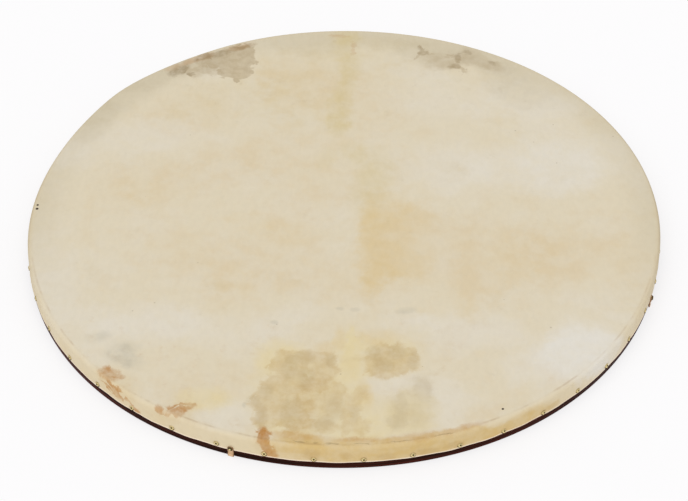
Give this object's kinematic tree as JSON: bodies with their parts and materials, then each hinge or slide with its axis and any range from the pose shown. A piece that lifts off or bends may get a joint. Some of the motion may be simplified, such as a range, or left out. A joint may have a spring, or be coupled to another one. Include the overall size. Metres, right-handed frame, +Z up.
{
  "type": "frame drum",
  "caption": "Large shallow round frame drum: a rawhide head stretched over a dark bent-wood hoop, held by a row of domed brass tacks, with small leather tabs, open at the back.",
  "frame": {"origin": "middle of the hoop's underside, on the surface that the drum lies on", "axes": "+Z up out of the head, -Y towards the front of the picture, +X to its right"},
  "size_m": [0.7605, 0.7617, 0.034],
  "materials": {
    "stained_wood": "dark mahogany stain, satin",
    "rawhide": "natural translucent rawhide with clouds, stains and a worn, matt surface",
    "aged_brass": "tarnished, dull in the hollows, bright on the dome",
    "tan_leather": "undyed tan leather, matt"
  },
  "bodies": {
    "root": {"hoop": "stained_wood", "head": "rawhide", "tack_01": "aged_brass", "tack_02": "aged_brass", "tack_03": "aged_brass", "tack_04": "aged_brass", "tack_05": "aged_brass", "tack_06": "aged_brass", "tack_07": "aged_brass", "tack_08": "aged_brass", "tack_09": "aged_brass", "tack_10": "aged_brass", "tack_11": "aged_brass", "tack_12": "aged_brass", "tack_13": "aged_brass", "tack_14": "aged_brass", "tack_15": "aged_brass", "tack_16": "aged_brass", "tack_17": "aged_brass", "tack_18": "aged_brass", "tack_19": "aged_brass", "tack_20": "aged_brass", "tack_21": "aged_brass", "tack_22": "aged_brass", "tack_23": "aged_brass", "tack_24": "aged_brass", "tack_25": "aged_brass", "tack_26": "aged_brass", "tack_27": "aged_brass", "tack_28": "aged_brass", "tack_29": "aged_brass", "tack_30": "aged_brass", "tack_31": "aged_brass", "tack_32": "aged_brass", "tack_33": "aged_brass", "tack_34": "aged_brass", "tack_35": "aged_brass", "tack_36": "aged_brass", "tack_37": "aged_brass", "tack_38": "aged_brass", "tack_39": "aged_brass", "tack_40": "aged_brass", "tack_41": "aged_brass", "tack_42": "aged_brass", "tack_43": "aged_brass", "tack_44": "aged_brass", "tab_front_tack": "aged_brass", "tab_right_tack": "aged_brass", "tab_front": "tan_leather", "tab_right": "tan_leather"}
  },
  "joints": []
}
